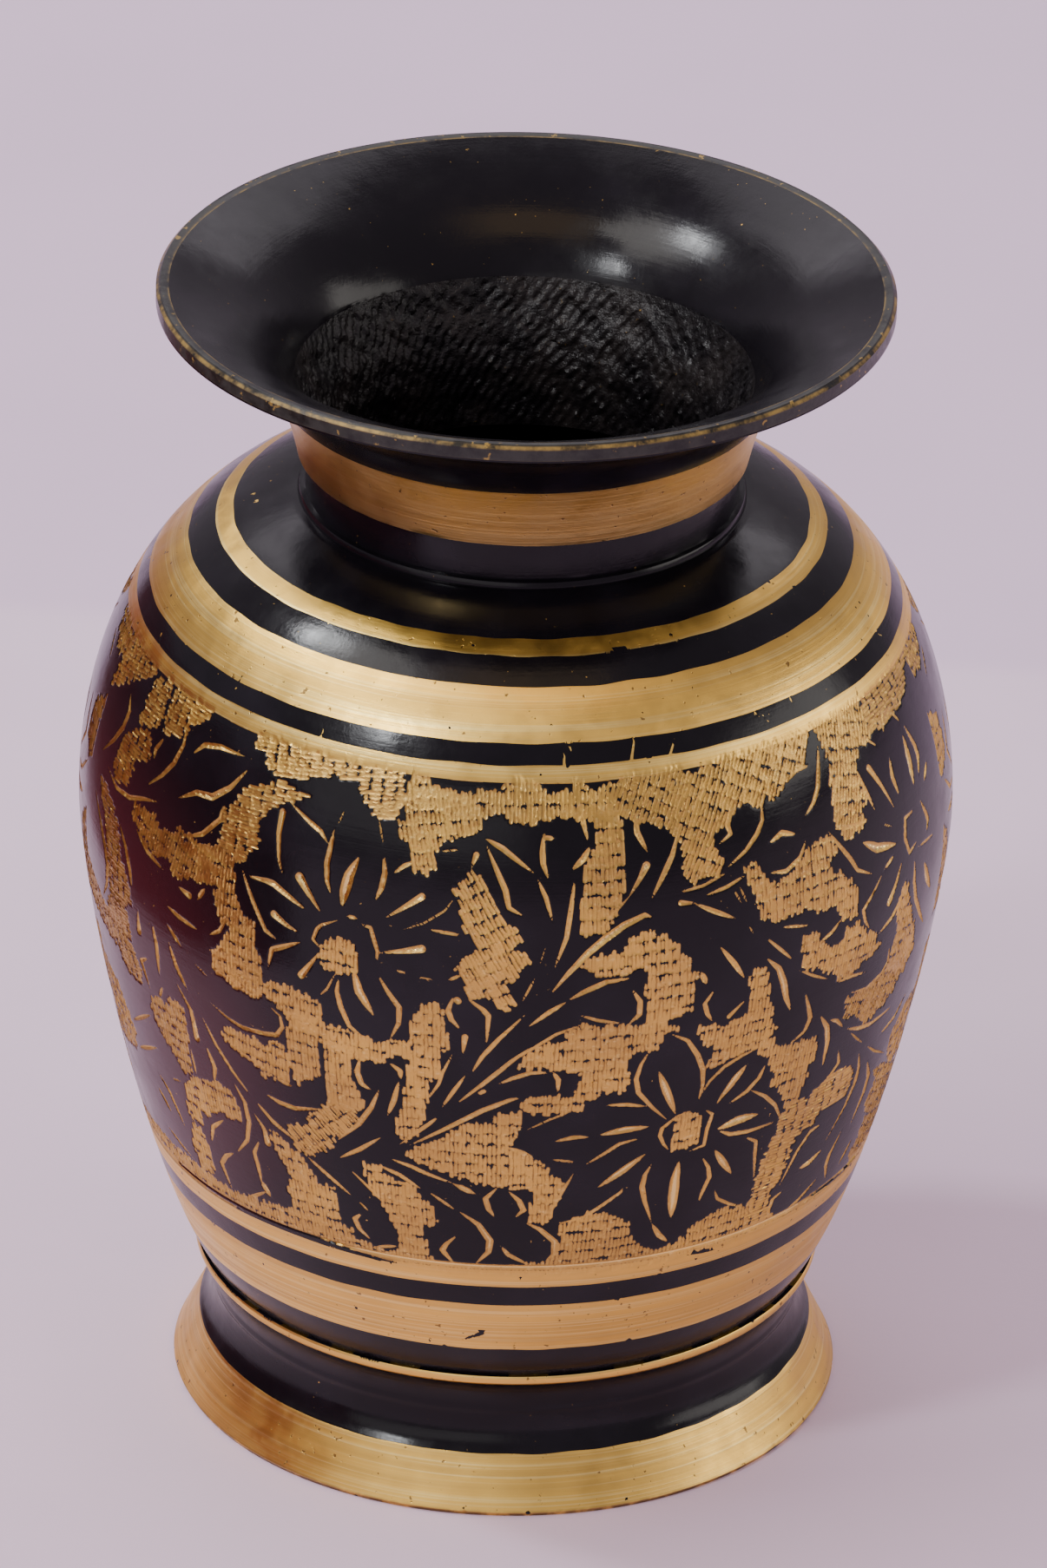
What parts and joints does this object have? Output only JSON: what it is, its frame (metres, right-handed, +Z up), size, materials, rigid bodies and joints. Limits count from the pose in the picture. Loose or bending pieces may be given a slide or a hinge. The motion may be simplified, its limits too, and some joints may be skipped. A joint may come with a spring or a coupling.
{
  "type": "brass flower vase",
  "caption": "Round-bellied turned brass vase with a wide trumpet mouth and a spreading ring foot, black lacquered and engraved with flowers.",
  "frame": {"origin": "centre of the flat ring that the foot stands on", "axes": "+Z up along the vase's axis of turning; +X and +Y across it, with -Y the side that the picture shows"},
  "size_m": [0.1278, 0.1278, 0.176],
  "materials": {
    "mouth_metal": "gloss black lacquer over brass, with one bare brass band at the neck",
    "body_metal": "satin turned brass bands between gloss black lacquer, engraved with flowers",
    "foot_metal": "gloss black lacquer over brass, with a bare brass bead and skirt",
    "filler_metal": "dull brazing metal"
  },
  "bodies": {
    "root": {"mouth_flare": "mouth_metal", "upper_body": "body_metal", "lower_body": "body_metal", "foot_ring": "foot_metal", "neck_braze": "filler_metal", "belly_braze": "filler_metal", "foot_braze": "filler_metal"}
  },
  "joints": []
}
